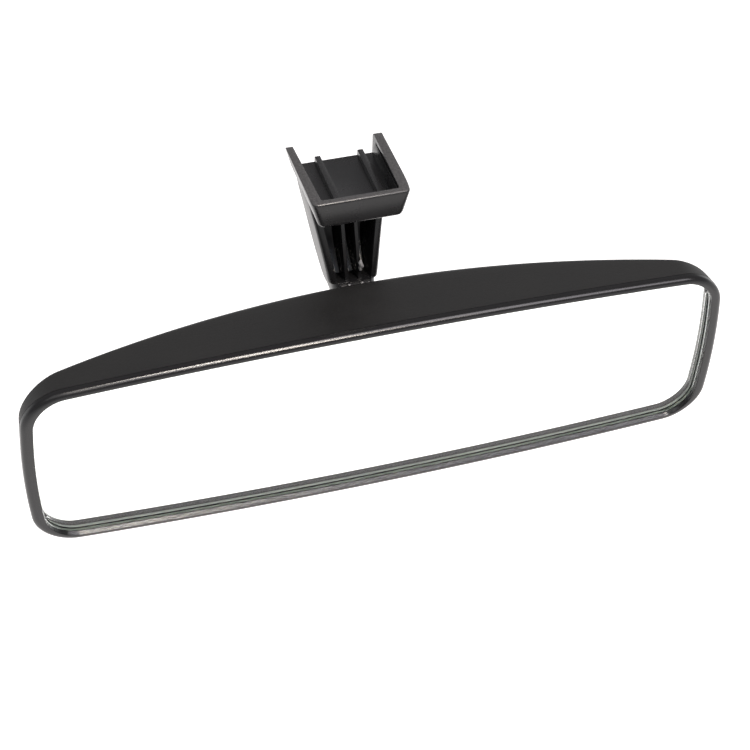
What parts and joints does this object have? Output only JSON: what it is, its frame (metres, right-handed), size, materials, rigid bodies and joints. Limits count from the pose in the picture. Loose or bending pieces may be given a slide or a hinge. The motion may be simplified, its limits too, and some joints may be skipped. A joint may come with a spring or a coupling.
{
  "type": "interior rearview mirror",
  "caption": "Black plastic interior rearview mirror with a slide-on windscreen shoe, a ribbed arm and a wide head that turns on a hidden ball joint.",
  "frame": {"origin": "centre of the shoe's floor, where the windscreen button's face rests", "axes": "+X across the head to the right of the person who looks into the glass, +Y towards the open end of the shoe and away from the glass, +Z out of the shoe towards the windscreen"},
  "size_m": [0.232, 0.0626, 0.0972],
  "materials": {
    "arm_plastic": "black glass-filled nylon, semi-gloss moulding skin",
    "socket_plastic": "black acetal copolymer, satin",
    "housing_plastic": "black polypropylene with a fine spark-eroded texture",
    "rim_plastic": "black polypropylene, satin",
    "acetal": "natural acetal, smooth",
    "zinc": "zinc die casting, tumbled, greased ball",
    "spring_steel": "tempered spring steel, rolled",
    "screw_steel": "zinc-plated steel",
    "silvered_glass": "float glass silvered on its back face, edges ground",
    "safety_film": "adhesive polyester film behind the silver",
    "foam": "black open-cell polyurethane foam"
  },
  "bodies": {
    "arm": {"mirror_arm": "arm_plastic", "ball_stud": "zinc"},
    "liner": {"ball_liner_front": "acetal", "ball_liner_rear": "acetal"},
    "cup": {"pressure_cup": "spring_steel"},
    "head": {"socket_carrier": "socket_plastic", "socket_cap": "socket_plastic", "cap_screw_1": "screw_steel", "cap_screw_2": "screw_steel", "cap_screw_3": "screw_steel", "carrier_screw_1": "screw_steel", "carrier_screw_2": "screw_steel", "carrier_screw_3": "screw_steel", "carrier_screw_4": "screw_steel", "housing": "housing_plastic", "bezel": "rim_plastic", "mirror_glass": "silvered_glass", "backing_film": "safety_film", "foam_pad_1": "foam", "foam_pad_2": "foam", "foam_pad_3": "foam", "foam_pad_4": "foam"}
  },
  "joints": [
    {"name": "head_yaw", "type": "hinge", "parent": "arm", "child": "liner", "pos_m": [0, -0.0222, -0.049], "axis": [0, 0, 1], "range_deg": [-20, 20]},
    {"name": "head_pitch", "type": "hinge", "parent": "liner", "child": "cup", "pos_m": [0, -0.0222, -0.049], "axis": [1, 0, 0], "range_deg": [-3, 45]},
    {"name": "head_roll", "type": "hinge", "parent": "cup", "child": "head", "pos_m": [0, -0.0222, -0.049], "axis": [0, 1, 0], "range_deg": [-8, 8]}
  ]
}
